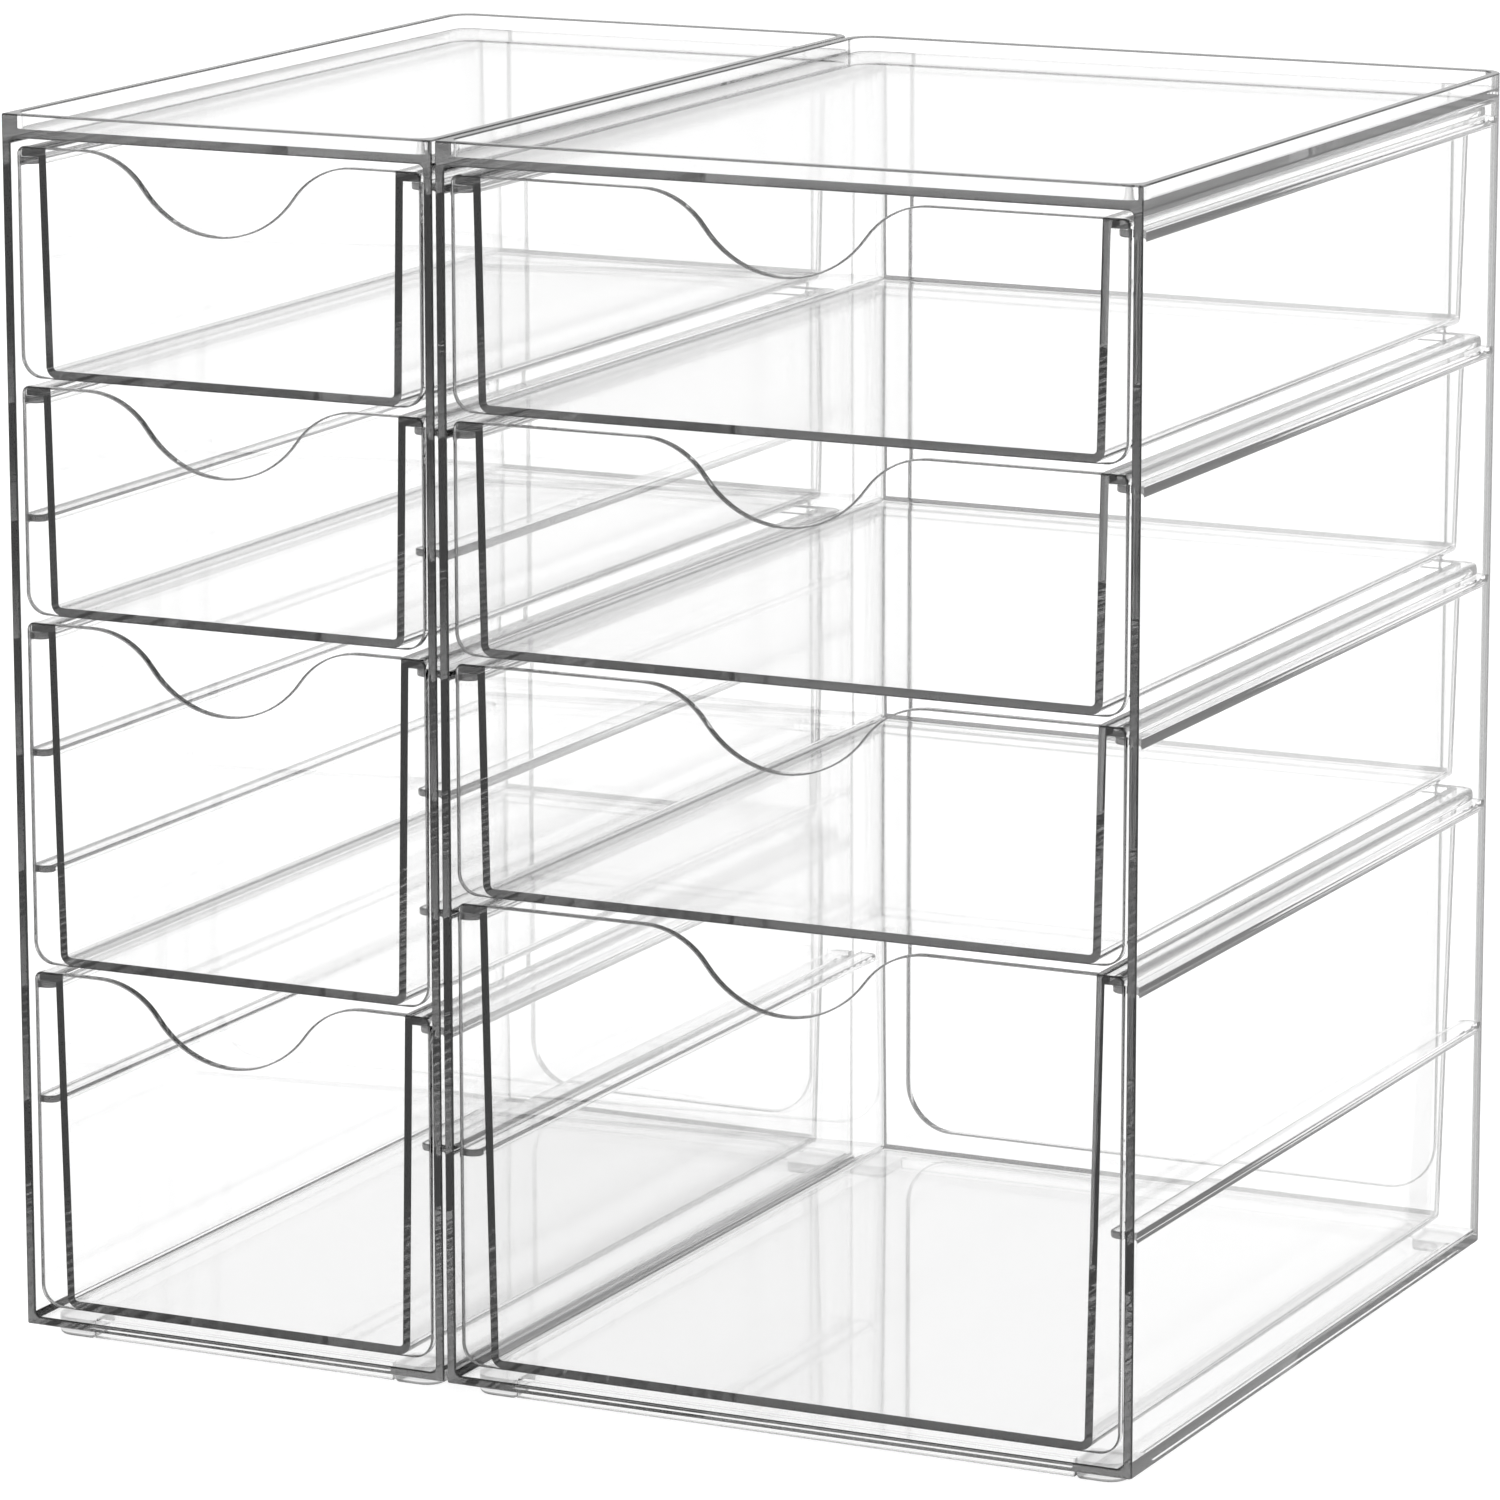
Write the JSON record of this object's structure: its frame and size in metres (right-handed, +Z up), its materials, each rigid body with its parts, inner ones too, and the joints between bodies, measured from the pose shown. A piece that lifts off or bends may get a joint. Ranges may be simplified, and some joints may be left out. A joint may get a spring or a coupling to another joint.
{
  "type": "plastic drawer tower",
  "caption": "Pair of clear stacking drawer towers side by side, one narrow and one wide, each an open-front case with lift-out drawers on side runners and a wave finger cut in each front.",
  "frame": {"origin": "on the table, under the middle of the pair's outer box", "axes": "+Z up, the drawers open towards -Y, +X to the right seen from the front, so the wide tower is at +X"},
  "size_m": [0.295, 0.23, 0.3022],
  "materials": {
    "clear_case": "clear, polished",
    "clear_drawer": "clear, polished",
    "silicone_pad": "translucent, satin"
  },
  "bodies": {
    "towers": {"narrow_case": "clear_case", "narrow_foot_front_left": "silicone_pad", "narrow_foot_front_right": "silicone_pad", "narrow_foot_back_left": "silicone_pad", "narrow_foot_back_right": "silicone_pad", "wide_case": "clear_case", "wide_foot_front_left": "silicone_pad", "wide_foot_front_right": "silicone_pad", "wide_foot_back_left": "silicone_pad", "wide_foot_back_right": "silicone_pad"},
    "narrow_drawer_1": {"narrow_drawer_1": "clear_drawer"},
    "narrow_drawer_2": {"narrow_drawer_2": "clear_drawer"},
    "narrow_drawer_3": {"narrow_drawer_3": "clear_drawer"},
    "narrow_drawer_4": {"narrow_drawer_4": "clear_drawer"},
    "wide_drawer_1": {"wide_drawer_1": "clear_drawer"},
    "wide_drawer_2": {"wide_drawer_2": "clear_drawer"},
    "wide_drawer_3": {"wide_drawer_3": "clear_drawer"},
    "wide_drawer_4": {"wide_drawer_4": "clear_drawer"}
  },
  "joints": [
    {"name": "narrow_drawer_1_slide", "type": "slide", "parent": "towers", "child": "narrow_drawer_1", "axis": [0, -1, 0], "range_m": [0, 0.16]},
    {"name": "narrow_drawer_2_slide", "type": "slide", "parent": "towers", "child": "narrow_drawer_2", "axis": [0, -1, 0], "range_m": [0, 0.16]},
    {"name": "narrow_drawer_3_slide", "type": "slide", "parent": "towers", "child": "narrow_drawer_3", "axis": [0, -1, 0], "range_m": [0, 0.16]},
    {"name": "narrow_drawer_4_slide", "type": "slide", "parent": "towers", "child": "narrow_drawer_4", "axis": [0, -1, 0], "range_m": [0, 0.16]},
    {"name": "wide_drawer_1_slide", "type": "slide", "parent": "towers", "child": "wide_drawer_1", "axis": [0, -1, 0], "range_m": [0, 0.16]},
    {"name": "wide_drawer_2_slide", "type": "slide", "parent": "towers", "child": "wide_drawer_2", "axis": [0, -1, 0], "range_m": [0, 0.16]},
    {"name": "wide_drawer_3_slide", "type": "slide", "parent": "towers", "child": "wide_drawer_3", "axis": [0, -1, 0], "range_m": [0, 0.16]},
    {"name": "wide_drawer_4_slide", "type": "slide", "parent": "towers", "child": "wide_drawer_4", "axis": [0, -1, 0], "range_m": [0, 0.16]}
  ]
}
